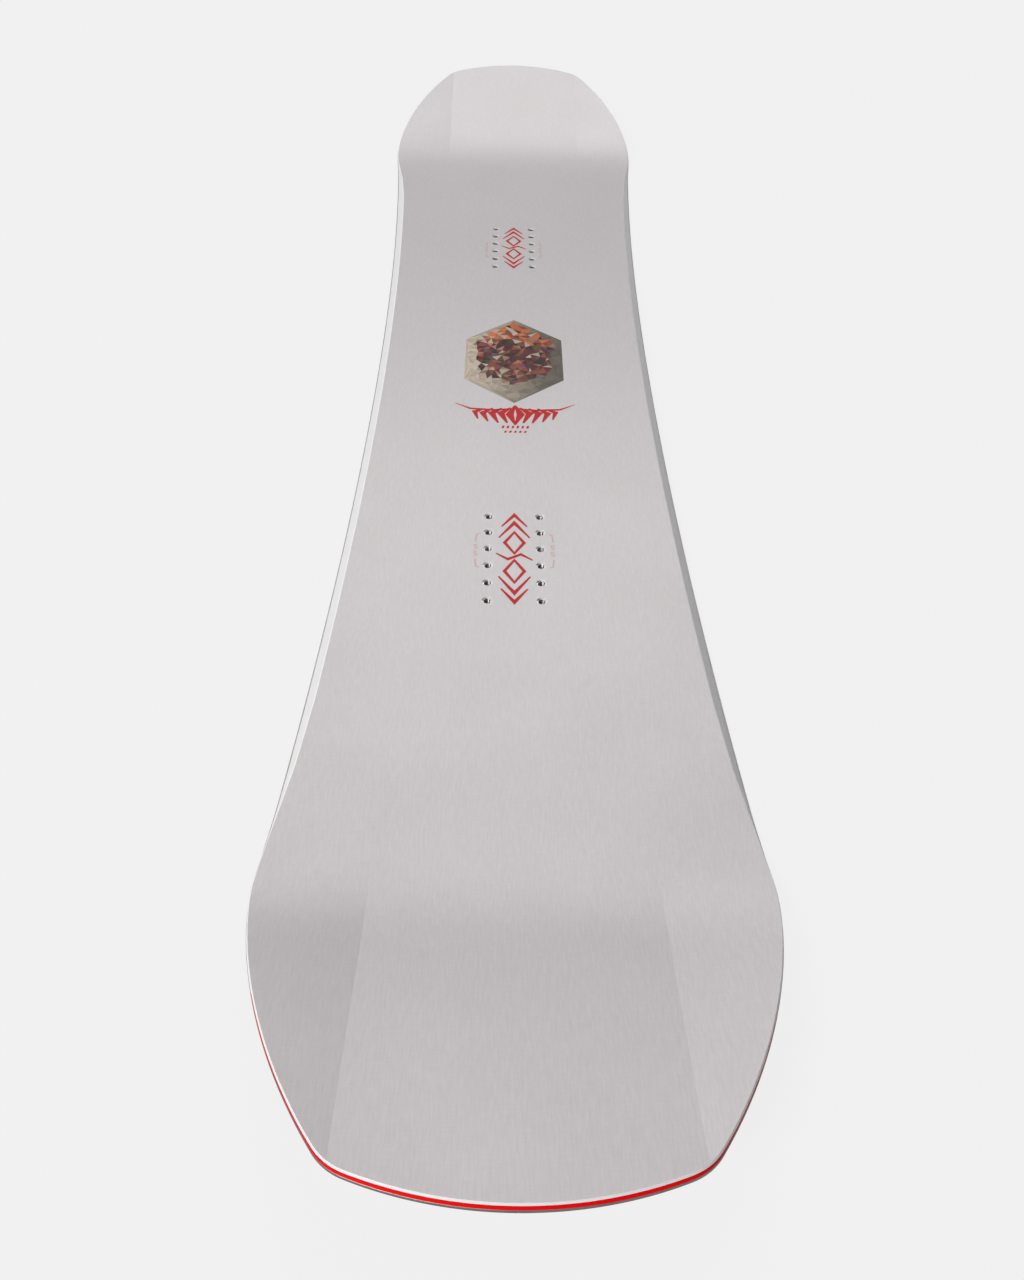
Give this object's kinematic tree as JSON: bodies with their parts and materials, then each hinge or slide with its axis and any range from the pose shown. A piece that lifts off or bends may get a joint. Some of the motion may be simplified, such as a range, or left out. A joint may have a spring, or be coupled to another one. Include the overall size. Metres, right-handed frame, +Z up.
{
  "type": "snowboard",
  "caption": "Symmetric twin-tip snowboard with slight camber, kicked tips, full-wrap steel edge, bevelled sidewalls and two packs of threaded inserts for bindings.",
  "frame": {"origin": "on the floor under the middle of the waist, at the centre of the board's plan", "axes": "+Y along the board from the nose to the tail, +X to the right of someone who looks from nose to tail, +Z up out of the topsheet"},
  "size_m": [0.3002, 1.536, 0.0582],
  "materials": {
    "topsheet": "satin light grey sheet with a fine woven grain and red graphics",
    "laminate": "resin-set glass fibre, pale green-grey",
    "base": "black sintered running sheet with a ground structure",
    "steel_edge": "ground and polished edge steel",
    "sidewall": "white plastic planed to a bevel",
    "tip_fill": "red plastic planed to a bevel",
    "damping_rubber": "thin black rubber strip",
    "core_wood": "light poplar-like strips",
    "insert_strip_wood": "harder wood strips under the inserts",
    "insert_steel": "stainless steel"
  },
  "bodies": {
    "root": {"topsheet": "topsheet", "top_glass": "laminate", "bottom_glass": "laminate", "base": "base", "steel_edge_left": "steel_edge", "steel_edge_right": "steel_edge", "sidewall_left": "sidewall", "sidewall_right": "sidewall", "damping_strip_left": "damping_rubber", "damping_strip_right": "damping_rubber", "nose_tip_fill": "tip_fill", "tail_tip_fill": "tip_fill", "core_strip_centre": "core_wood", "core_strip_left_1": "insert_strip_wood", "core_strip_left_2": "core_wood", "core_strip_left_3": "core_wood", "core_strip_left_4": "core_wood", "core_strip_right_1": "insert_strip_wood", "core_strip_right_2": "core_wood", "core_strip_right_3": "core_wood", "core_strip_right_4": "core_wood", "insert_nose_left_1": "insert_steel", "insert_nose_left_2": "insert_steel", "insert_nose_left_3": "insert_steel", "insert_nose_left_4": "insert_steel", "insert_nose_left_5": "insert_steel", "insert_nose_left_6": "insert_steel", "insert_nose_right_1": "insert_steel", "insert_nose_right_2": "insert_steel", "insert_nose_right_3": "insert_steel", "insert_nose_right_4": "insert_steel", "insert_nose_right_5": "insert_steel", "insert_nose_right_6": "insert_steel", "insert_tail_left_1": "insert_steel", "insert_tail_left_2": "insert_steel", "insert_tail_left_3": "insert_steel", "insert_tail_left_4": "insert_steel", "insert_tail_left_5": "insert_steel", "insert_tail_left_6": "insert_steel", "insert_tail_right_1": "insert_steel", "insert_tail_right_2": "insert_steel", "insert_tail_right_3": "insert_steel", "insert_tail_right_4": "insert_steel", "insert_tail_right_5": "insert_steel", "insert_tail_right_6": "insert_steel"}
  },
  "joints": []
}
